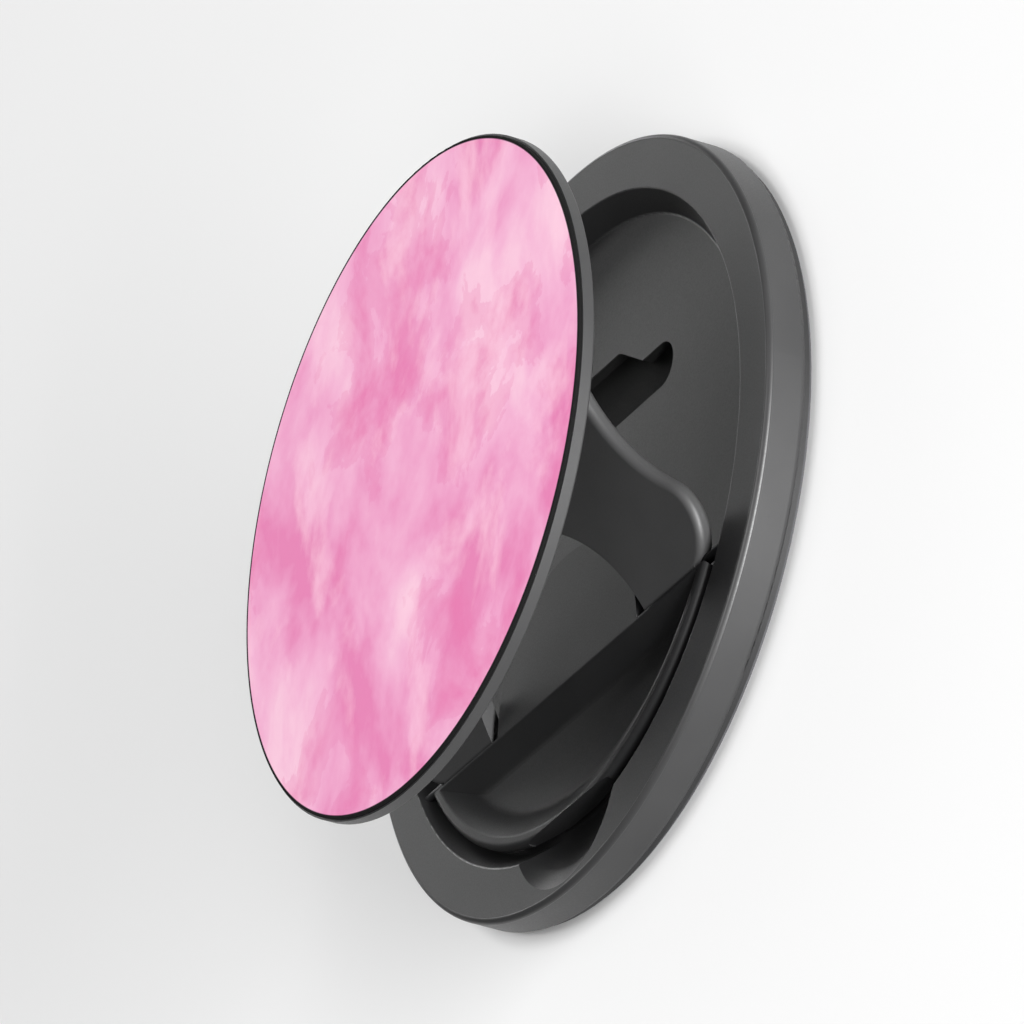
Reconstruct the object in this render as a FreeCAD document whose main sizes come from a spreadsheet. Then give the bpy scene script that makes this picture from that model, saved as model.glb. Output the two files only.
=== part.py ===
import FreeCAD, Part
import math
import os
from types import SimpleNamespace
import Sketcher

# Magnetic phone grip: a round base with a ring of magnets, an arm that folds into the base,
# and a round printed disc on the arm. Millimetres. Z is up, away from the phone, Y points
# along the phone towards its top, and the origin is the middle of the face that meets the phone.
# The grip is modelled open. Folded, the arm lies in the recess and the disc lies on the rim.
SIZES = {
    # Base
    "base_radius": 27.9,
    "face_height": 3.7,
    "recess_depth": 1.6,
    "recess_run": 1.35,
    "rim_inner_wall": 0.9,
    "floor_fillet": 0.25,
    "rim_fillet": 0.45,
    "rim_inner_fillet": 0.2,
    "pad_thickness": 0.3,
    "pad_width": 7.0,
    "pad_inset": 0.7,
    "cover_thickness": 0.4,
    "cover_inset": 0.4,
    # Finger notch at the foot of the rim
    "notch_radius": 7.3,
    "notch_depth": 2.2,
    "notch_strip": 0.6,
    # Magnets
    "magnet_wall": 0.8,
    "magnet_width": 2.1,
    "magnet_height": 1.5,
    "magnet_gap": 0.4,
    "magnet_clearance": 0.05,
    "shunt_thickness": 0.4,
    # Arm hinge on the base
    "hinge_setback": 11.35,
    "hinge_clearance": 0.25,
    "fold_gap": 0.15,
    "pin_radius": 0.35,
    "pin_running_gap": 0.05,
    "pin_hold": 1.8,
    "pin_seat_depth": 0.7,
    # Arm
    "arm_thickness": 1.3,
    "arm_length": 19.4,
    "arm_side_gap": 1.9,
    "arm_corner": 3.6,
    "arm_corner_rise": 3.2,
    "arm_flank": 14.0,
    "arm_top_half": 15.1,
    "arm_edge": 0.5,
    "window_radius": 10.8,
    "open_angle": 31.05,
    # Scoop plate and its tongue
    "plate_gap": 0.7,
    "plate_edge": 0.5,
    "tongue_gap": 1.0,
    "dish_depth": 1.15,
    "dish_lip": 1.5,
    "dish_fillet": 1.2,
    "dish_edge": 0.3,
    "dish_slope": 60.0,
    "plate_notch_half": 5.6,
    "plate_notch_depth": 2.1,
    # Disc
    "disc_radius": 24.15,
    "disc_thickness": 1.9,
    "disc_edge": 0.85,
    "disc_undercut": 2.25,
    "disc_fillet": 0.15,
    "disc_hinge_offset": 4.65,
    "axis_drop": 1.05,
    "insert_inset": 0.15,
    "insert_proud": 0.25,
    "insert_sunk": 0.25,
    "insert_rabbet": 1.0,
    "insert_gap": 0.05,
    "insert_edge": 0.08,
    # Carrier that hinges the disc on the arm
    "carrier_radius": 9.5,
    "carrier_thickness": 0.8,
    "carrier_gap": 0.1,
    "carrier_knuckle_half": 5.2,
    "top_knuckle_radius": 0.8,
    "top_knuckle_half": 11.1,
    "screw_margin": 1.9,
    "screw_radius": 0.5,
    "screw_head_radius": 0.95,
    "screw_head_height": 0.4,
    "screw_reach": 0.4,
    # Pocket in the recess floor for the upper hinge
    "pocket_depth": 0.8,
    "pocket_end_gap": 0.9,
    "pocket_half_height": 1.7,
    "pocket_lobe_foot": 7.7,
    "pocket_lobe_half": 4.5,
    "pocket_lobe_height": 3.9,
    "pocket_lobe_round": 1.0,
}
MAGNET_COUNT = 15
MAGNET_PITCH = 20
SCREW_ANGLES = (-90, 150, 30)
SIDES = ((-1, "left"), (1, "right"))
TOLERANCE = 1e-4


class Size:
    """A number together with the spreadsheet expression that drives it."""

    def __init__(self, value, text):
        self.value = float(value)
        self.text = text

    def __add__(self, other):
        other = as_size(other)
        return Size(self.value + other.value, f"({self.text} + {other.text})")

    def __sub__(self, other):
        other = as_size(other)
        return Size(self.value - other.value, f"({self.text} - {other.text})")

    def __mul__(self, other):
        other = as_size(other)
        return Size(self.value * other.value, f"({self.text} * {other.text})")

    def __truediv__(self, other):
        other = as_size(other)
        return Size(self.value / other.value, f"({self.text} / {other.text})")

    def __neg__(self):
        return Size(-self.value, f"(-1 * {self.text})")


def as_size(number):
    return number if isinstance(number, Size) else Size(number, repr(number))


def sine(angle):
    return Size(math.sin(math.radians(angle.value)), f"sin({angle.text})")


def cosine(angle):
    return Size(math.cos(math.radians(angle.value)), f"cos({angle.text})")


def other_leg(slant, leg):
    """The third side of a right triangle."""
    square = slant * slant - leg * leg
    return Size(math.sqrt(square.value), f"sqrt({square.text})")


doc = FreeCAD.newDocument("magnetic_phone_grip")
sheet = doc.addObject("Spreadsheet::Sheet", "sizes")
for row, (alias, number) in enumerate(SIZES.items(), start=1):
    sheet.set(f"A{row}", alias.replace("_", " "))
    sheet.set(f"B{row}", str(number))
    sheet.setAlias(f"B{row}", alias)
doc.recompute()
d = SimpleNamespace(**{alias: Size(number, f"sizes.{alias}") for alias, number in SIZES.items()})
ZERO = as_size(0)

# Base: heights, and the recess inside the ring of magnets
back_z = d.pad_thickness + d.cover_thickness
floor_z = d.face_height - d.recess_depth
groove_outer = d.base_radius - d.magnet_wall
groove_inner = groove_outer - d.magnet_width - d.magnet_clearance * 2
groove_top = back_z + d.magnet_height + d.shunt_thickness
recess_radius = groove_inner - d.rim_inner_wall
floor_radius = recess_radius - d.recess_run
notch_sphere = (d.notch_radius * d.notch_radius / d.notch_depth + d.notch_depth) / 2
notch_y = d.notch_radius + d.notch_strip - d.base_radius

# Arm and its two hinge axes
arm_half = d.arm_thickness / 2
hinge_y = -d.hinge_setback
hinge_z = d.face_height - arm_half
hinge_reach = arm_half + d.fold_gap
fold_y = hinge_y - arm_half
upper_y = hinge_y + d.arm_length * cosine(d.open_angle)
upper_z = hinge_z + d.arm_length * sine(d.open_angle)
running_radius = d.pin_radius + d.pin_running_gap
wall_radius = recess_radius - arm_half * d.recess_run / d.recess_depth
arm_half_width = other_leg(wall_radius, d.hinge_setback - d.arm_corner_rise) - d.arm_side_gap
corner_x = arm_half_width - d.arm_corner
leg_outer = corner_x + other_leg(d.arm_corner, d.arm_corner_rise)
pin_outer_end = other_leg(wall_radius, d.hinge_setback) + d.pin_seat_depth
tongue_radius = d.window_radius - d.tongue_gap
pin_inner_end = tongue_radius - d.pin_hold
pocket_y = hinge_y + d.arm_length

# Disc, its printed insert and its carrier
disc_y = upper_y - d.disc_hinge_offset
disc_under = upper_z + d.axis_drop
body_thickness = d.disc_thickness - d.insert_proud
insert_radius = d.disc_radius - d.insert_inset
spigot_radius = insert_radius - d.insert_rabbet
screw_circle = d.carrier_radius - d.screw_margin
X_AXIS = FreeCAD.Vector(1, 0, 0)
Y_AXIS = FreeCAD.Vector(0, 1, 0)
Z_AXIS = FreeCAD.Vector(0, 0, 1)


def bind(item, **properties):
    """Drive the named properties of an object from the spreadsheet."""
    for name, size in properties.items():
        item.setExpression(name, as_size(size).text)


def place(item, x=ZERO, y=ZERO, z=ZERO, turn_axis=Z_AXIS, turn=0):
    """Put an object at a driven point, turned about one axis."""
    angle = turn.value if isinstance(turn, Size) else turn
    item.Placement = FreeCAD.Placement(FreeCAD.Vector(), FreeCAD.Rotation(turn_axis, angle))
    for letter, size in (("x", x), ("y", y), ("z", z)):
        item.setExpression(f"Placement.Base.{letter}", as_size(size).text)
    if isinstance(turn, Size):
        item.setExpression("Placement.Rotation.Angle", turn.text)
    return item


def cylinder(name, radius, height, **where):
    item = doc.addObject("Part::Cylinder", name)
    bind(item, Radius=radius, Height=height)
    return place(item, **where)


def rod_along_x(name, radius, start, end, y=ZERO, z=ZERO):
    return cylinder(name, radius, end - start, x=start, y=y, z=z, turn_axis=Y_AXIS, turn=90)


def side_rod(name, radius, side, inner, outer, y=ZERO, z=ZERO):
    """A rod along X on one side of the middle."""
    start, end = (inner, outer) if side > 0 else (-outer, -inner)
    return rod_along_x(name, radius, start, end, y, z)


def hinge_rod(name, side, inner, outer):
    """A rod of the pin's size on the arm's hinge axis, on one side of the middle."""
    return side_rod(name, d.pin_radius, side, inner, outer, hinge_y, hinge_z)


def box(name, start, end):
    """A box between two driven corners."""
    item = doc.addObject("Part::Box", name)
    spans = [as_size(high) - low for low, high in zip(start, end)]
    bind(item, Length=spans[0], Width=spans[1], Height=spans[2])
    return place(item, *start)


def fuse(name, *pieces):
    item = doc.addObject("Part::MultiFuse", name)
    item.Shapes = list(pieces)
    item.Refine = True
    return item


def cut(name, base, *tools):
    item = doc.addObject("Part::Cut", name)
    item.Base = base
    item.Tool = tools[0] if len(tools) == 1 else fuse(name + "_cutters", *tools)
    item.Refine = True
    return item


def group(name, pieces):
    item = doc.addObject("Part::Compound", name)
    item.Links = pieces
    return item


def rounded(name, base, radius_name, wanted):
    """Fillet the edges of an object that the test picks out."""
    doc.recompute()
    radius = SIZES[radius_name]
    item = doc.addObject("Part::Fillet", name)
    item.Base = base
    item.Edges = [(index, radius, radius) for index, edge in enumerate(base.Shape.Edges, start=1)
                  if wanted(edge)]
    return item


def drive(sketch, constraint, size):
    """Add one dimension to a sketch and drive it from the spreadsheet."""
    number = sketch.addConstraint(constraint)
    sketch.setExpression(f"Constraints[{number}]", size.text)


def arc(sketch, centre, radius, start, end):
    """Add an arc about a driven centre between two angles in radians, and drive its radius."""
    circle = Part.Circle(FreeCAD.Vector(centre[0].value, centre[1].value, 0), Z_AXIS, radius.value)
    number = sketch.addGeometry(Part.ArcOfCircle(circle, start, end), False)
    drive(sketch, Sketcher.Constraint("Radius", number, radius.value), radius)
    return number


def line(sketch, start, end):
    ends = [FreeCAD.Vector(across.value, up.value, 0) for across, up in (start, end)]
    return sketch.addGeometry(Part.LineSegment(*ends), False)


def draw_corners(sketch, corners):
    """A closed outline of straight lines between driven corners."""
    corners = [(as_size(across), as_size(up)) for across, up in corners]
    points = [FreeCAD.Vector(across.value, up.value, 0) for across, up in corners]
    for start, end in zip(points, points[1:] + points[:1]):
        sketch.addGeometry(Part.LineSegment(start, end), False)
    for index, (across, up) in enumerate(corners):
        before = (index - 1) % len(corners)
        sketch.addConstraint(Sketcher.Constraint("Coincident", index, 1, before, 2))
        drive(sketch, Sketcher.Constraint("DistanceX", -1, 1, index, 1, across.value), across)
        drive(sketch, Sketcher.Constraint("DistanceY", -1, 1, index, 1, up.value), up)


def extruded(name, sketch, height, direction=Z_AXIS):
    item = doc.addObject("Part::Extrusion", name)
    item.Base = sketch
    item.DirMode = "Custom"
    item.Dir = direction
    item.Solid = True
    bind(item, LengthFwd=height)
    return item


def prism(name, corners, low, height):
    """A straight-sided block standing on an outline of driven corners."""
    sketch = doc.addObject("Sketcher::SketchObject", name + "_outline")
    draw_corners(sketch, corners)
    place(sketch, z=low)
    return extruded(name, sketch, height)


def turned(name, corners, sweep=360):
    """A body turned about Z from driven (radius, height) corners. A part turn is centred on X."""
    body = doc.addObject("PartDesign::Body", name)
    sketch = body.newObject("Sketcher::SketchObject", name + "_outline")
    plane = next(item for item in body.Origin.OriginFeatures if item.Role == "XZ_Plane")
    sketch.AttachmentSupport = [(plane, "")]
    sketch.MapMode = "FlatFace"
    draw_corners(sketch, corners)
    turn = body.newObject("PartDesign::Revolution", name + "_turn")
    turn.Profile = sketch
    turn.ReferenceAxis = (sketch, ["V_Axis"])
    turn.Angle = sweep
    turn.Midplane = sweep < 360
    doc.recompute()
    return body


def is_circle(edge, radius, height):
    """True for a circular edge about Z with this radius and height."""
    if not isinstance(edge.Curve, Part.Circle):
        return False
    return abs(edge.Curve.Radius - radius) < TOLERANCE and abs(edge.Curve.Center.z - height) < TOLERANCE


def round_edges(body, radius, *circles):
    """Fillet the circular edges of a turned body that have these (radius, height) places."""
    base = body.Tip
    names = [f"Edge{index}" for index, edge in enumerate(base.Shape.Edges, start=1)
             if any(is_circle(edge, across.value, up.value) for across, up in circles)]
    fillet = body.newObject("PartDesign::Fillet", f"{body.Name}_round{len(body.Group)}")
    fillet.Base = (base, names)
    bind(fillet, Radius=radius)
    doc.recompute()


def ring_corners(inner, outer, low, high):
    return [(inner, low), (outer, low), (outer, high), (inner, high)]


def open_ring(name, inner, outer, low, high):
    """A ring about Z, open at the finger notch."""
    ring = turned(name, ring_corners(inner, outer, low, high), MAGNET_COUNT * MAGNET_PITCH)
    return place(ring, turn=90)


def make_base_housing():
    body = turned("housing_body", [
        (ZERO, back_z), (d.base_radius, back_z), (d.base_radius, d.face_height),
        (recess_radius, d.face_height), (floor_radius, floor_z), (ZERO, floor_z)])
    round_edges(body, d.floor_fillet, (floor_radius, floor_z))
    round_edges(body, d.rim_inner_fillet, (recess_radius, d.face_height))
    round_edges(body, d.rim_fillet, (d.base_radius, d.face_height), (d.base_radius, back_z))
    notch = doc.addObject("Part::Sphere", "finger_notch")
    bind(notch, Radius=notch_sphere)
    place(notch, ZERO, notch_y, d.face_height + notch_sphere - d.notch_depth)
    groove = open_ring("magnet_groove", groove_inner, groove_outer, back_z, groove_top)
    seats = [hinge_rod(f"{name}_pin_seat", side, tongue_radius, pin_outer_end) for side, name in SIDES]
    return cut("base_housing", body, notch, groove, *pocket_cutters(), *seats)


def pocket_cutters():
    """The pocket in the recess floor that takes the upper hinge when the arm is folded."""
    half = d.pocket_half_height
    bottom = floor_z - d.pocket_depth
    height = d.face_height - bottom
    straight = d.top_knuckle_half + d.pocket_end_gap - half
    slot_top = pocket_y + half
    slot = box("pocket_slot", (-straight, pocket_y - half, bottom), (straight, slot_top, d.face_height))
    ends = [cylinder(f"pocket_{name}_end", half, height, x=straight * side, y=pocket_y, z=bottom)
            for side, name in SIDES]
    foot = d.pocket_lobe_foot
    top = d.pocket_lobe_half
    lobe_top = pocket_y + d.pocket_lobe_height
    lobe = prism("pocket_lobe", [(-foot, pocket_y), (foot, pocket_y), (foot, slot_top), (top, lobe_top),
                                 (-top, lobe_top), (-foot, slot_top)], bottom, height)
    lobe = rounded("pocket_lobe_soft", lobe, "pocket_lobe_round",
                   lambda edge: edge.BoundBox.YMin > lobe_top.value - TOLERANCE
                   and edge.BoundBox.XLength < TOLERANCE)
    return [slot, lobe] + ends


def make_magnets():
    ring = open_ring("magnet_ring", groove_inner + d.magnet_clearance, groove_outer - d.magnet_clearance,
                     back_z, groove_top - d.shunt_thickness)
    first = 90 - MAGNET_COUNT * MAGNET_PITCH / 2
    gaps = []
    for index in range(MAGNET_COUNT + 1):
        turn = first + index * MAGNET_PITCH
        gap = doc.addObject("Part::Box", f"magnet_gap_{index}")
        bind(gap, Length=d.base_radius, Width=d.magnet_gap, Height=d.face_height)
        aside = d.magnet_gap / 2
        gaps.append(place(gap, aside * math.sin(math.radians(turn)), -aside * math.cos(math.radians(turn)),
                          turn=turn))
    return cut("magnet_segments", ring, *gaps)


def make_shunt():
    return open_ring("steel_shunt_ring", groove_inner + d.magnet_clearance, groove_outer - d.magnet_clearance,
                     groove_top - d.shunt_thickness, groove_top)


def make_back_cover():
    return turned("back_cover", ring_corners(ZERO, d.base_radius - d.cover_inset, d.pad_thickness, back_z))


def make_grip_pad():
    outer = d.base_radius - d.pad_inset
    return turned("grip_pad", ring_corners(outer - d.pad_width, outer, ZERO, d.pad_thickness))


def dish_cutter(radius):
    """A shallow bowl with sloping sides: the lower segment of a circle, tapered downwards."""
    sketch = doc.addObject("Sketcher::SketchObject", "dish_outline")
    chord = -fold_y
    half = other_leg(radius, chord)
    start = math.atan2(-chord.value, -half.value)
    end = math.atan2(-chord.value, half.value)
    round_edge = arc(sketch, (ZERO, ZERO), radius, start, end)
    edge = line(sketch, (half, -chord), (-half, -chord))
    sketch.addConstraint(Sketcher.Constraint("Coincident", round_edge, 3, -1, 1))
    sketch.addConstraint(Sketcher.Constraint("Coincident", round_edge, 2, edge, 1))
    sketch.addConstraint(Sketcher.Constraint("Coincident", round_edge, 1, edge, 2))
    sketch.addConstraint(Sketcher.Constraint("Horizontal", edge))
    drive(sketch, Sketcher.Constraint("DistanceY", -1, 1, edge, 1, -chord.value), -chord)
    place(sketch, z=d.face_height)
    bowl = extruded("dish_bowl", sketch, d.dish_depth, -Z_AXIS)
    bind(bowl, TaperAngle=-d.dish_slope)
    bottom = d.face_height.value - d.dish_depth.value
    return rounded("dish_rounded", bowl, "dish_fillet",
                   lambda edge: abs(edge.BoundBox.ZMax - bottom) < TOLERANCE)


def make_scoop_plate():
    outer = recess_radius - d.plate_gap
    blank = turned("scoop_round", [
        (ZERO, floor_z), (floor_radius - d.plate_gap, floor_z),
        (outer, d.face_height), (ZERO, d.face_height)])
    round_edges(blank, d.plate_edge, (outer, d.face_height))
    upper = box("scoop_upper", (-outer, hinge_y, floor_z), (outer, outer, d.face_height))
    hinge_room = rod_along_x("scoop_hinge_room", hinge_reach, -outer, outer, hinge_y, hinge_z)
    segment = cut("scoop_segment", blank, upper, hinge_room)
    tongue = cut("tongue",
                 cylinder("tongue_round", tongue_radius, d.recess_depth, y=fold_y, z=floor_z),
                 box("tongue_lower", (-outer, -outer - tongue_radius, floor_z),
                     (outer, hinge_y - hinge_reach * 2, d.face_height)))
    foot = box("scoop_notch", (-d.plate_notch_half, -outer, floor_z),
               (d.plate_notch_half, d.plate_notch_depth - recess_radius, d.face_height))
    seats = [hinge_rod(f"{name}_tongue_seat", side, pin_inner_end, d.window_radius) for side, name in SIDES]
    dish_radius = outer - d.dish_lip
    plate = cut("scoop_dished", fuse("scoop_solid", segment, tongue), foot, dish_cutter(dish_radius), *seats)
    return rounded("scoop_plate", plate, "dish_edge",
                   lambda edge: is_dish_edge(edge, dish_radius.value))


def is_dish_edge(edge, radius):
    """True for the upper edges of the dish: along its arc and along the tongue."""
    if is_circle(edge, radius, d.face_height.value):
        return True
    flat = edge.BoundBox.ZLength < TOLERANCE and edge.BoundBox.ZMin > d.face_height.value - TOLERANCE
    return flat and edge.BoundBox.YLength < TOLERANCE and abs(edge.BoundBox.YMin - fold_y.value) < TOLERANCE


def make_arm_pins():
    return group("arm_hinge_pins", [hinge_rod(f"{name}_arm_pin", side, pin_inner_end, pin_outer_end)
                                    for side, name in SIDES])


def arm_side(sketch, side):
    """One side of the arm's outline: a round corner, a hollow flank and a straight top, all tangent."""
    reach = d.arm_top_half + d.arm_flank
    flank_rise = d.arm_corner_rise + other_leg(d.arm_corner + d.arm_flank, reach - corner_x)
    foot = -math.pi / 2
    meet = math.acos((reach - corner_x).value / (d.arm_corner + d.arm_flank).value)
    corner_angles = (foot, meet) if side > 0 else (math.pi - meet, math.pi - foot)
    flank_angles = (math.pi, math.pi + meet) if side > 0 else (-meet, 0.0)
    corner = arc(sketch, (corner_x * side, d.arm_corner_rise), d.arm_corner, *corner_angles)
    flank = arc(sketch, (reach * side, flank_rise), d.arm_flank, *flank_angles)
    top_x = d.arm_top_half * side
    top = line(sketch, (top_x, flank_rise), (top_x, d.arm_length))
    for kind, size in (("DistanceX", corner_x * side), ("DistanceY", d.arm_corner_rise)):
        drive(sketch, Sketcher.Constraint(kind, -1, 1, corner, 3, size.value), size)
    low, high = (1, 2) if side > 0 else (2, 1)
    sketch.addConstraint(Sketcher.Constraint("Tangent", corner, high, flank, high))
    sketch.addConstraint(Sketcher.Constraint("Tangent", flank, low, top, 1))
    sketch.addConstraint(Sketcher.Constraint("Vertical", top))
    drive(sketch, Sketcher.Constraint("DistanceX", -1, 1, top, 2, top_x.value), top_x)
    return (corner, low), (top, 2)


def arm_plate():
    """The arm's flat plate about its lower hinge axis, with a rounded rim and a round window."""
    sketch = doc.addObject("Sketcher::SketchObject", "arm_outline")
    left_foot, left_top = arm_side(sketch, -1)
    right_foot, right_top = arm_side(sketch, 1)
    foot_y = d.arm_corner_rise - d.arm_corner
    foot = line(sketch, (-corner_x, foot_y), (corner_x, foot_y))
    top = line(sketch, (-d.arm_top_half, d.arm_length), (d.arm_top_half, d.arm_length))
    for end, (edge, point) in ((1, left_foot), (2, right_foot)):
        sketch.addConstraint(Sketcher.Constraint("Tangent", foot, end, edge, point))
    for end, (edge, point) in ((1, left_top), (2, right_top)):
        sketch.addConstraint(Sketcher.Constraint("Coincident", top, end, edge, point))
        drive(sketch, Sketcher.Constraint("DistanceY", -1, 1, top, end, d.arm_length.value), d.arm_length)
    place(sketch, z=-arm_half)
    rim = rounded("arm_rim", extruded("arm_blank", sketch, d.arm_thickness), "arm_edge", is_rim_edge)
    window = cylinder("arm_window", d.window_radius, d.arm_thickness, y=-arm_half, z=-arm_half)
    return cut("arm_plate", rim, window)


def is_rim_edge(edge):
    """True for the arm's flat outline edges, but not for its straight top."""
    bounds = edge.BoundBox
    return bounds.ZLength < TOLERANCE and bounds.YMin < d.arm_length.value - TOLERANCE


def make_arm():
    gap_half = d.carrier_knuckle_half + d.hinge_clearance
    knuckles = []
    for side, name in SIDES:
        knuckles.append(side_rod(f"{name}_lower_knuckle", arm_half, side,
                                 d.window_radius, leg_outer - d.arm_edge))
        knuckles.append(side_rod(f"{name}_upper_knuckle", d.top_knuckle_radius, side,
                                 gap_half, d.top_knuckle_half, d.arm_length))
    solid = fuse("arm_solid", arm_plate(), *knuckles)
    reach = d.top_knuckle_radius + d.hinge_clearance
    carrier_room = box("arm_carrier_room", (-gap_half, d.arm_length - reach, -arm_half),
                       (gap_half, d.arm_length + reach, arm_half))
    lower_bore = rod_along_x("arm_lower_bore", running_radius, -recess_radius, recess_radius)
    upper_bore = rod_along_x("arm_upper_bore", d.pin_radius, -d.top_knuckle_half, d.top_knuckle_half,
                             d.arm_length)
    arm = cut("arm", solid, carrier_room, lower_bore, upper_bore)
    return place(arm, y=hinge_y, z=hinge_z, turn_axis=X_AXIS, turn=d.open_angle)


def make_disc_pin():
    half = d.top_knuckle_half
    return rod_along_x("disc_hinge_pin", d.pin_radius, -half, half, upper_y, upper_z)


def at_screws(name, radius, depth):
    """One upright cylinder at each screw's place, from the disc's underside."""
    items = []
    for index, angle in enumerate(SCREW_ANGLES):
        direction = math.radians(angle)
        x = screw_circle * math.cos(direction)
        y = disc_y + screw_circle * math.sin(direction)
        items.append(cylinder(f"{name}_{index}", radius, depth, x=x, y=y, z=disc_under))
    return items


def make_carrier():
    half = d.carrier_knuckle_half
    knuckle_radius = d.top_knuckle_radius
    plate = cylinder("carrier_plate", d.carrier_radius, d.carrier_thickness, y=disc_y, z=disc_under)
    knuckle = rod_along_x("carrier_knuckle", knuckle_radius, -half, half, upper_y, upper_z)
    web = box("carrier_web", (-half, upper_y - knuckle_radius, upper_z),
              (half, upper_y + knuckle_radius, disc_under + d.carrier_thickness / 2))
    bore = rod_along_x("carrier_bore", running_radius, -half, half, upper_y, upper_z)
    holes = at_screws("carrier_screw_hole", d.screw_radius, d.carrier_thickness)
    seats = at_screws("carrier_screw_seat", d.screw_head_radius, d.screw_head_height)
    return cut("disc_carrier", fuse("carrier_solid", plate, knuckle, web), bore, *holes, *seats)


def make_screws():
    heads = at_screws("screw_head", d.screw_head_radius, d.screw_head_height)
    shanks = at_screws("screw_shank", d.screw_radius, d.carrier_thickness + d.screw_reach)
    return group("carrier_screws", [fuse(f"screw_{index}", head, shank)
                                    for index, (head, shank) in enumerate(zip(heads, shanks))])


def make_disc_body():
    seat = spigot_radius + d.insert_gap
    seat_floor = body_thickness - d.insert_sunk
    hub = d.disc_radius - d.disc_undercut
    edge_low = body_thickness - d.disc_edge
    body = turned("disc_blank", [
        (ZERO, ZERO), (hub, ZERO), (d.disc_radius, edge_low), (d.disc_radius, body_thickness),
        (seat, body_thickness), (seat, seat_floor), (ZERO, seat_floor)])
    round_edges(body, d.disc_fillet, (d.disc_radius, edge_low))
    place(body, y=disc_y, z=disc_under)
    pocket = cylinder("carrier_pocket", d.carrier_radius + d.carrier_gap, d.carrier_thickness,
                      y=disc_y, z=disc_under)
    holes = at_screws("disc_screw_hole", d.screw_radius, d.carrier_thickness + d.screw_reach)
    return cut("disc_body", body, pocket, *holes)


def make_insert():
    """The printed face: a thin plate on the disc with a stepped underside that centres it."""
    low = body_thickness - d.insert_sunk
    insert = turned("print_insert", [
        (ZERO, low), (spigot_radius, low), (spigot_radius, body_thickness), (insert_radius, body_thickness),
        (insert_radius, d.disc_thickness), (ZERO, d.disc_thickness)])
    round_edges(insert, d.insert_edge, (insert_radius, d.disc_thickness))
    return place(insert, y=disc_y, z=disc_under)


subparts = [
    make_base_housing(), make_shunt(), make_magnets(), make_back_cover(), make_grip_pad(),
    make_scoop_plate(), make_arm_pins(), make_arm(), make_disc_pin(), make_carrier(), make_screws(),
    make_disc_body(), make_insert()]
doc.recompute()

for item in doc.Objects:
    if "Invalid" in item.State or "Error" in item.State:
        raise RuntimeError(f"{item.Label} failed: {item.State}")
os.makedirs("parts", exist_ok=True)
for item in subparts:
    if item.Shape.isNull() or not item.Shape.isValid():
        raise RuntimeError(f"{item.Label} has no valid shape")
    item.Shape.exportStep(f"parts/{item.Label}.step")
    print(f"{item.Label}: {len(item.Shape.Solids)} solids, {item.Shape.Volume:.2f} mm3")
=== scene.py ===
import math

import bpy
from mathutils import Matrix, Vector


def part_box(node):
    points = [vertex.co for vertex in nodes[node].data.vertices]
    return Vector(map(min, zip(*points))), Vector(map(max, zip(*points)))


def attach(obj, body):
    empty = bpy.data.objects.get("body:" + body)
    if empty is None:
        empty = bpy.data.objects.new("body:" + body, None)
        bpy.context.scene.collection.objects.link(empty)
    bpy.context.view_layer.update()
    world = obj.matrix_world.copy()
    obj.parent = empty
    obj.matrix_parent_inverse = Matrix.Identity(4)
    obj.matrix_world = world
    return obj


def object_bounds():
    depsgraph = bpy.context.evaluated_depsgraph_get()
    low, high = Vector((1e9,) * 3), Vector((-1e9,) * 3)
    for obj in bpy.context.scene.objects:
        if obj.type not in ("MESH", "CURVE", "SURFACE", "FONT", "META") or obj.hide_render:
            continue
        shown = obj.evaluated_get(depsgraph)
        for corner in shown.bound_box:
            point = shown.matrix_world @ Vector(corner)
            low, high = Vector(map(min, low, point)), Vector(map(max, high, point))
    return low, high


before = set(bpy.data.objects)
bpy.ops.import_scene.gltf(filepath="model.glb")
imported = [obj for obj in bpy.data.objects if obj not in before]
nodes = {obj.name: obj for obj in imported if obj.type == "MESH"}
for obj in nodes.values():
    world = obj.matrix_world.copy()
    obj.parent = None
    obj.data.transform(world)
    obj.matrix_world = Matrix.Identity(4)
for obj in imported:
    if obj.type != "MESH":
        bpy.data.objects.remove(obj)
cad_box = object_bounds()
scene = bpy.context.scene
scene.view_settings.view_transform = "Standard"

# Everything is in metres, in the part's own frame.
MM = 0.001

# Camera: where it stands, which way is up in the picture, and how much of the picture the part fills
CAMERA_PLACE = Vector((0.6438, -0.4115, 0.3557))
CAMERA_UP = Vector((0.4265, 0.8723, 0.2391))
CAMERA_SENSOR = 36.0
PICTURE_SHARE = 0.80
PART_SPAN = 0.0560
CAMERA_NEAR = 0.01
CAMERA_FAR = 10.0

# Print: the insert it lies on, the black border round its colour, and the layers of its wash
INSERT_LOW, INSERT_HIGH = (Vector(corner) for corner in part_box("print_insert"))
PRINT_MIDDLE = Vector((*((INSERT_LOW + INSERT_HIGH) / 2).xy, 0.0))
PRINT_BORDER = 0.25 * MM
PRINT_RADIUS = (INSERT_HIGH.x - INSERT_LOW.x) / 2 - PRINT_BORDER
BORDER_ROUGHER = 0.5
# Near black: ink for the print's border, and painted shade in the base's pocket.
INK_AND_SHADE_BLACK = (0.003, 0.003, 0.003, 1.0)
PAPER_GRAIN = 0.45 * MM
WASH_LAYERS = {
    # name: width of a blotch, detail, roughness, distortion, stretch, turn in degrees, offset
    "clouds": (13 * MM, 5.0, 0.55, 0.25, (1.2, 0.85, 1.0), -38, (0.031, 0.012, 0.0)),
    "blooms": (10 * MM, 7.0, 0.60, 0.35, (1.1, 0.9, 1.0), -30, (0.11, -0.07, 0.0)),
    "runs": (9 * MM, 6.0, 0.58, 0.25, (1.2, 0.8, 1.0), -42, (-0.05, 0.2, 0.0)),
}
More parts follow.
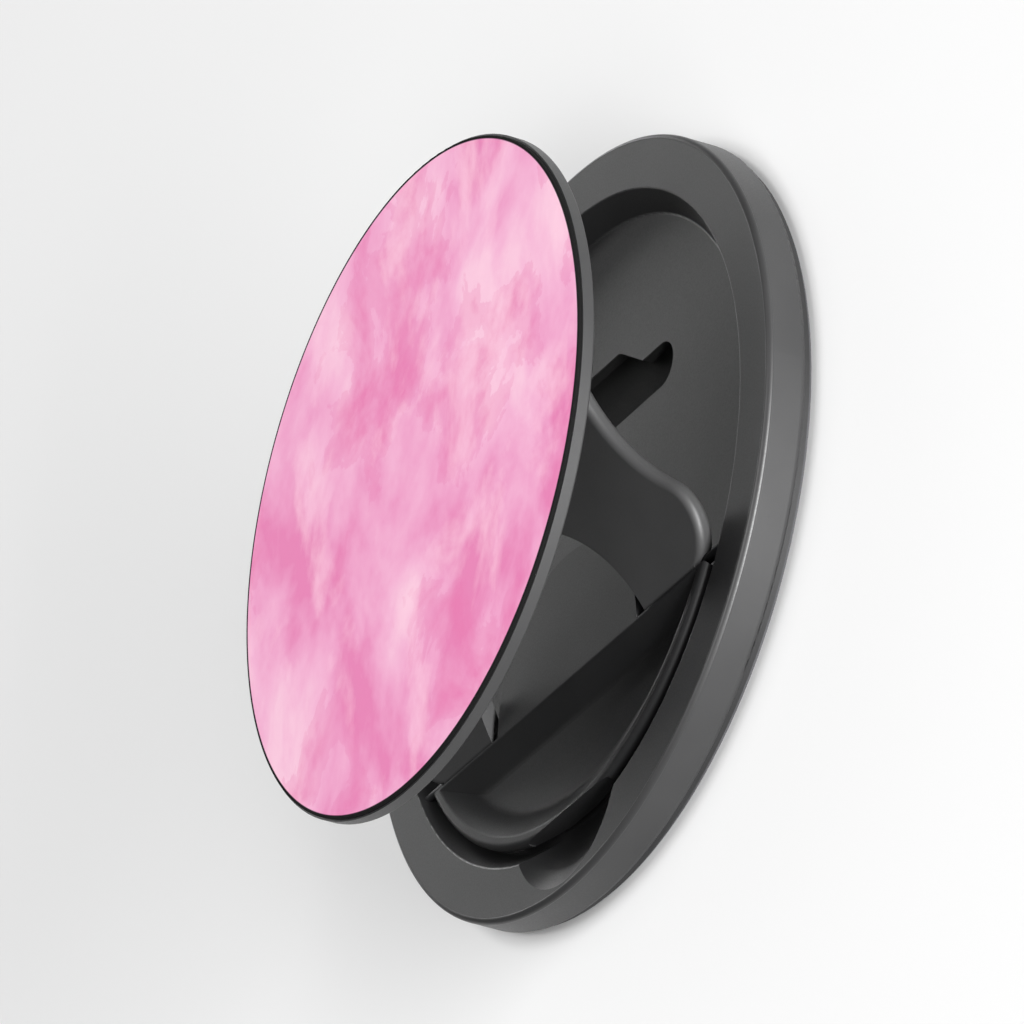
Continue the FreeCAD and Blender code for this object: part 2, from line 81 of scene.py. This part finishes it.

# Base: its rounded top edge; the outer wall beyond it, painted lighter than the top face as painted light;
# and the pocket below the recess floor, painted near black as painted shade
WALL_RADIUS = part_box("base_housing")[1][0]
RIM_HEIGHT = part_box("base_housing")[1][2]
RIM_FILLET = 0.45 * MM
RIM_RADIUS = WALL_RADIUS - RIM_FILLET
RIM_SKIN_FILLET = 0.42 * MM
RIM_STEPS = 12
RIM_TURNS = 360
POCKET_MARGIN = 0.1 * MM
POCKET_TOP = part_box("scoop_plate")[0][2] - POCKET_MARGIN
POCKET_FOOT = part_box("back_cover")[1][2] + POCKET_MARGIN
POCKET_REACH = 22.0 * MM
POCKET_ROUGHER = 0.35

# Plastic: how wide its spark texture and its flow marks are, and how far a change of finish spreads
GRAIN = 0.12 * MM
GRAIN_DEPTH = 0.004 * MM
GRAIN_ROUGHER = 0.05
FLOW = 9.0 * MM
FINISH_EDGE = 0.06 * MM

# Rubber and metal: how wide and how deep their textures are
PEBBLE = 0.35 * MM
PEBBLE_DEPTH = 0.02 * MM
PAD_CLOUD = 6.0 * MM
DRAWN_LINE = 0.6 * MM
FINE_DEPTH = 0.002 * MM

# Light: a lamp of share 1 lights a surface that faces it so that its colour shows as written
LAMP_DISTANCE = 0.9
LAMPS = {
    # name: direction from the part, width, height, share
    "key_light": ((0.95, -0.26, 0.12), 0.8, 0.20, 3.0),
    "low_back_light": ((-0.77, 0.62, 0.125), 0.5, 0.14, 0.14),
    "high_back_light": ((-0.76, 0.49, 0.38), 0.5, 0.2, 0.03),
    "front_fill": ((0.5, -0.6, 0.62), 0.5, 0.5, 0.22),
    "top_light": ((-0.1, 0.1, 1.0), 0.5, 0.5, 0.58),
}
WORLD_SHARE = 0.12
FLOOR_SIZE = 6.0
FLOOR_COLOUR = (0.85, 0.85, 0.85, 1.0)


class Shader:
    """A material whose nodes are added one call at a time."""

    def __init__(self, name):
        self.material = bpy.data.materials.new(name)
        self.material.use_nodes = True
        self.tree = self.material.node_tree
        self.surface = self.tree.nodes["Principled BSDF"]
        self.place = self.add("ShaderNodeTexCoord").outputs["Object"]

    def add(self, kind, settings=None, **inputs):
        node = self.tree.nodes.new(kind)
        for key, value in (settings or {}).items():
            setattr(node, key, value)
        for key, value in inputs.items():
            self.feed(node.inputs[key.replace("_", " ")], value)
        return node

    def feed(self, socket, value):
        if isinstance(value, bpy.types.NodeSocket):
            self.tree.links.new(value, socket)
        else:
            socket.default_value = value

    def set(self, **inputs):
        for key, value in inputs.items():
            self.feed(self.surface.inputs[key.replace("_", " ")], value)

    def noise(self, feature, detail=2.0, place=None, roughness=0.5, distortion=0.0):
        """Noise whose blotches are about one feature wide."""
        node = self.add("ShaderNodeTexNoise", Vector=place or self.place, Scale=1.0 / feature,
                        Detail=detail, Roughness=roughness, Distortion=distortion)
        return node.outputs["Fac"]

    def stretched(self, scale, turn=0.0, offset=(0.0, 0.0, 0.0)):
        node = self.add("ShaderNodeMapping", Vector=self.place, Scale=scale,
                        Rotation=(0.0, 0.0, turn), Location=offset)
        return node.outputs["Vector"]

    def span(self, value, low, high, from_low=0.3, from_high=0.7):
        """A value turned into a number from low to high. The limits it comes with fit noise."""
        node = self.add("ShaderNodeMapRange", Value=value, To_Min=low, To_Max=high)
        node.inputs["From Min"].default_value = from_low
        node.inputs["From Max"].default_value = from_high
        return node.outputs["Result"]

    def ramp(self, value, *stops):
        node = self.add("ShaderNodeValToRGB", Fac=value)
        elements = node.color_ramp.elements
        while len(elements) < len(stops):
            elements.new(1.0)
        for element, (position, colour) in zip(elements, stops):
            element.position = position
            element.color = (*colour, 1.0)
        return node.outputs["Color"]

    def mask(self, value, *stops):
        return self.ramp(value, *((position, (level, level, level)) for position, level in stops))

    def mix(self, amount, first, second, kind="MIX"):
        node = self.add("ShaderNodeMix", {"data_type": "RGBA", "blend_type": kind})
        self.feed(node.inputs["Factor"], amount)
        colours = [socket for socket in node.inputs if socket.type == "RGBA"]
        self.feed(colours[0], first)
        self.feed(colours[1], second)
        return next(socket for socket in node.outputs if socket.type == "RGBA")

    def math(self, operation, *values):
        node = self.add("ShaderNodeMath", {"operation": operation})
        for socket, value in zip(node.inputs, values):
            self.feed(socket, value)
        return node.outputs["Value"]

    def layer(self, feature, detail, roughness, distortion, stretch, turn, offset):
        """Noise that is stretched and turned, as one layer of a wash."""
        place = self.stretched(stretch, math.radians(turn), offset)
        return self.noise(feature, detail, place, roughness, distortion)

    def radius(self, middle=Vector()):
        """How far a point is from an upright axis through middle."""
        flat = self.add("ShaderNodeMapping", Vector=self.place, Scale=(1.0, 1.0, 0.0), Location=-middle)
        return self.add("ShaderNodeVectorMath", {"operation": "LENGTH"},
                        Vector=flat.outputs["Vector"]).outputs["Value"]

    def within(self, value, limit):
        """One where a length is below a limit, and nothing beyond it."""
        return self.span(value, 1.0, 0.0, limit - FINISH_EDGE / 2, limit + FINISH_EDGE / 2)

    def bump(self, height, depth):
        return self.add("ShaderNodeBump", Height=height, Distance=depth, Strength=1.0).outputs["Normal"]


def moulded_plastic(name, dark, light, roughness, gloss=0.5):
    """Black moulded plastic: fine spark texture, slow changes of tone and gloss where the melt flowed."""
    shader = Shader(name)
    fine = shader.noise(GRAIN, detail=3.0, roughness=0.6)
    shader.set(
        Base_Color=shader.ramp(shader.noise(FLOW, detail=3.0), (0.3, dark), (0.7, light)),
        Roughness=shader.span(fine, roughness - GRAIN_ROUGHER, roughness + GRAIN_ROUGHER),
        Normal=shader.bump(fine, GRAIN_DEPTH),
        Specular_IOR_Level=gloss)
    return shader.material


def housing_plastic(name, face, wall, roughness):
    """The base's plastic: a darker top face and a greyer outer wall, painted shade and painted light on one
    plastic, and a matt pocket painted near black as painted shade.
    """
    shader = Shader(name)
    flowing = shader.noise(FLOW, detail=3.0)
    fine = shader.noise(GRAIN, detail=3.0, roughness=0.6)
    radius = shader.radius()
    height = shader.add("ShaderNodeSeparateXYZ", Vector=shader.place).outputs["Z"]
    # The wall's lighter colour is painted light; the top face's darker colour is painted shade.
    painted_light_wall = shader.span(radius, 0.0, 1.0, RIM_RADIUS, WALL_RADIUS - RIM_FILLET / 3)
    below_top, below_foot = (shader.within(height, limit) for limit in (POCKET_TOP, POCKET_FOOT))
    # The pocket is painted near black: painted shade in the hollow under the recess floor.
    painted_shade_pocket = shader.math("MULTIPLY", shader.math("SUBTRACT", below_top, below_foot),
                         shader.within(radius, POCKET_REACH))
    colours = [shader.ramp(flowing, (0.3, dark), (0.7, light)) for dark, light in (face, wall)]
    even = shader.span(fine, roughness - GRAIN_ROUGHER, roughness + GRAIN_ROUGHER)
    shader.set(
        Base_Color=shader.mix(painted_shade_pocket, shader.mix(painted_light_wall, *colours), INK_AND_SHADE_BLACK),
        Roughness=shader.math("MULTIPLY_ADD", painted_shade_pocket, POCKET_ROUGHER, even),
        Normal=shader.bump(fine, GRAIN_DEPTH))
    return shader.material


def soft_pad(name):
    """Grey grip pad: a matt rubber with a fine pebbled skin."""
    shader = Shader(name)
    pebbles = shader.add("ShaderNodeTexVoronoi", {"feature": "SMOOTH_F1"}, Vector=shader.place,
                         Scale=1.0 / PEBBLE, Smoothness=0.4).outputs["Distance"]
    cloud = shader.noise(PAD_CLOUD, detail=4.0)
    shader.set(
        Base_Color=shader.ramp(cloud, (0.3, (0.040, 0.040, 0.043)), (0.7, (0.062, 0.062, 0.066))),
        Roughness=shader.span(cloud, 0.72, 0.86),
        Normal=shader.bump(pebbles, PEBBLE_DEPTH),
        Specular_IOR_Level=0.35)
    return shader.material


def brushed_metal(name, colour, shade, roughness, along=(1.0, 30.0, 30.0)):
    """Steel or nickel with fine drawn lines along one axis."""
    shader = Shader(name)
    lines = shader.noise(DRAWN_LINE, detail=3.0, place=shader.stretched(along))
    shader.set(
        Base_Color=shader.ramp(lines, (0.25, shade), (0.75, colour)),
        Metallic=1.0,
        Roughness=shader.span(lines, roughness - 0.06, roughness + 0.08),
        Normal=shader.bump(lines, FINE_DEPTH))
    return shader.material


def watercolour_print(name):
    """Pink wash: soft slanting clouds, deeper blooms with feathered edges, pale runs, and paper grain."""
    shader = Shader(name)
    clouds, blooms, runs = (shader.layer(*layer) for layer in WASH_LAYERS.values())
    paper = shader.noise(PAPER_GRAIN, detail=4.0, roughness=0.7)
    wash = shader.ramp(clouds, (0.36, (0.73, 0.19, 0.41)), (0.45, (0.79, 0.31, 0.52)),
                       (0.50, (0.81, 0.355, 0.555)), (0.55, (0.83, 0.40, 0.59)), (0.64, (0.88, 0.52, 0.66)))
    bloom_mask = shader.mask(blooms, (0.53, 0.0), (0.58, 0.35), (0.68, 0.80))
    edge_mask = shader.mask(blooms, (0.525, 0.0), (0.535, 0.30), (0.575, 0.0))
    run_mask = shader.mask(runs, (0.52, 0.0), (0.66, 0.60))
    coloured = shader.mix(bloom_mask, wash, (0.72, 0.14, 0.36, 1.0))
    edged = shader.mix(edge_mask, coloured, (0.73, 0.18, 0.40, 1.0))
    pale = shader.mix(run_mask, edged, (0.92, 0.58, 0.70, 1.0))
    grained = shader.mix(0.10, pale, shader.ramp(
        paper, (0.3, (0.70, 0.30, 0.48)), (0.7, (1.0, 0.75, 0.86))), kind="SOFT_LIGHT")
    coloured_area = shader.within(shader.radius(PRINT_MIDDLE), PRINT_RADIUS)
    shader.set(
        Base_Color=shader.mix(coloured_area, INK_AND_SHADE_BLACK, grained),
        Roughness=shader.math("ADD", shader.span(paper, 0.36, 0.48),
                              shader.span(coloured_area, BORDER_ROUGHER, 0.0, 0.0, 1.0)),
        Normal=shader.bump(paper, FINE_DEPTH),
        Specular_IOR_Level=0.15)
    return shader.material


def make_materials():
    # Tones of one black plastic: the darkest is painted shade, the lightest is painted light.
    shaded_black = ((0.009, 0.009, 0.0095), (0.013, 0.013, 0.0135))
    black = ((0.020, 0.020, 0.0205), (0.027, 0.027, 0.0275))
    lit_black = ((0.034, 0.034, 0.0345), (0.043, 0.043, 0.0435))
    return {
        "housing": housing_plastic("housing_plastic", shaded_black, black, roughness=0.42),
        # The arm's lighter tone is painted light; the mechanism's darkest tone is painted shade.
        "arm": moulded_plastic("arm_plastic", *lit_black, roughness=0.50),
        "mechanism": moulded_plastic("mechanism_plastic", *shaded_black, roughness=0.46, gloss=0.42),
        "disc": moulded_plastic("disc_plastic", *black, roughness=0.42),
        "pad": soft_pad("pad_rubber"),
        "steel": brushed_metal("drawn_steel", (0.62, 0.62, 0.64), (0.44, 0.44, 0.46), 0.30),
        "pin": brushed_metal("burnished_steel", (0.06, 0.06, 0.063), (0.03, 0.03, 0.032), 0.45),
        "nickel": brushed_metal("nickel_plate", (0.68, 0.66, 0.62), (0.52, 0.50, 0.47), 0.24,
                                along=(1.0, 1.0, 1.0)),
        "print": watercolour_print("pink_wash"),
    }


def finish_nodes(materials):
    finishes = {
        "base_housing": ("housing", "black_housing"), "back_cover": ("housing", "black_housing"),
        "scoop_plate": ("mechanism", "black_mechanism"), "arm": ("arm", "black_mechanism"),
        "disc_carrier": ("mechanism", "black_mechanism"), "disc_body": ("disc", "black_disc"),
        "grip_pad": ("pad", "grey_pad"), "steel_shunt_ring": ("steel", "steel"),
        "arm_hinge_pins": ("pin", "steel"), "disc_hinge_pin": ("pin", "steel"),
        "carrier_screws": ("steel", "steel"), "magnet_segments": ("nickel", "nickel"),
        "print_insert": ("print", "pink_print"),
    }
    for node, (material, slot) in finishes.items():
        nodes[node].data.materials.clear()
        nodes[node].data.materials.append(materials[material])


def make_rim_edge(material):
    """A finely divided ring over the base's rounded top edge, where the solid's triangles are uneven.

    Its rounding is a little tighter than the solid's, so it covers that edge inside the base's outline.
    """
    arc = [math.pi / 2 * step / RIM_STEPS for step in range(RIM_STEPS + 1)]
    section = [(RIM_SKIN_FILLET, angle) for angle in arc]
    section += [(RIM_SKIN_FILLET / 2, angle) for angle in reversed(arc)]
    middle_radius = WALL_RADIUS - RIM_SKIN_FILLET
    middle_height = RIM_HEIGHT - RIM_SKIN_FILLET
    profile = [(middle_radius + reach * math.cos(angle), middle_height + reach * math.sin(angle))
               for reach, angle in section]
    points = []
    for turn in range(RIM_TURNS):
        angle = 2 * math.pi * turn / RIM_TURNS
        points += [(radius * math.cos(angle), radius * math.sin(angle), height)
                   for radius, height in profile]
    count = len(profile)
    faces = []
    for turn in range(RIM_TURNS):
        here = turn * count
        there = (turn + 1) % RIM_TURNS * count
        for step in range(count):
            ahead = (step + 1) % count
            faces.append((here + step, there + step, there + ahead, here + ahead))
    mesh = bpy.data.meshes.new("rim_edge")
    mesh.from_pydata(points, [], faces)
    mesh.polygons.foreach_set("use_smooth", [step < RIM_STEPS for step in range(count)] * RIM_TURNS)
    mesh.materials.append(material)
    ring = bpy.data.objects.new("rim_edge", mesh)
    scene.collection.objects.link(ring)
    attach(ring, "base_unit")


def make_floor():
    mesh = bpy.data.meshes.new("floor")
    half = FLOOR_SIZE / 2
    corners = [(-half, -half, 0.0), (half, -half, 0.0), (half, half, 0.0), (-half, half, 0.0)]
    mesh.from_pydata(corners, [], [(0, 1, 2, 3)])
    floor = bpy.data.objects.new("floor", mesh)
    scene.collection.objects.link(floor)
    shader = Shader("pale_floor")
    shader.set(Base_Color=FLOOR_COLOUR, Roughness=0.9, Specular_IOR_Level=0.1)
    mesh.materials.append(shader.material)


def softbox(name, direction, width, height, share):
    """A rectangular lamp that faces the part from one direction."""
    lamp = bpy.data.lights.new(name, "AREA")
    lamp.shape = "RECTANGLE"
    lamp.size = width
    lamp.size_y = height
    lamp.energy = share * math.pi ** 2 * LAMP_DISTANCE ** 2
    item = bpy.data.objects.new(name, lamp)
    scene.collection.objects.link(item)
    item.location = Vector(direction).normalized() * LAMP_DISTANCE
    item.rotation_mode = "QUATERNION"
    item.rotation_quaternion = Vector(direction).to_track_quat("Z", "Y")


def make_light():
    world = bpy.data.worlds.new("studio")
    scene.world = world
    world.use_nodes = True
    background = world.node_tree.nodes["Background"]
    background.inputs["Color"].default_value = (1.0, 1.0, 1.0, 1.0)
    background.inputs["Strength"].default_value = WORLD_SHARE
    for name, lamp in LAMPS.items():
        softbox(name, *lamp)


def make_camera():
    camera = bpy.data.objects.new("camera", bpy.data.cameras.new("camera"))
    scene.collection.objects.link(camera)
    aim = (cad_box[0] + cad_box[1]) / 2
    back = (CAMERA_PLACE - aim).normalized()
    right = CAMERA_UP.cross(back).normalized()
    up = back.cross(right)
    turn = Matrix((right, up, back)).transposed().to_4x4()
    camera.matrix_world = Matrix.Translation(CAMERA_PLACE) @ turn
    camera.data.sensor_width = CAMERA_SENSOR
    span_in_picture = PART_SPAN / PICTURE_SHARE
    camera.data.lens = CAMERA_SENSOR * (CAMERA_PLACE - aim).length / span_in_picture
    camera.data.clip_start = CAMERA_NEAR
    camera.data.clip_end = CAMERA_FAR
    scene.camera = camera


materials = make_materials()
finish_nodes(materials)
make_rim_edge(materials["housing"])
make_floor()
make_light()
make_camera()
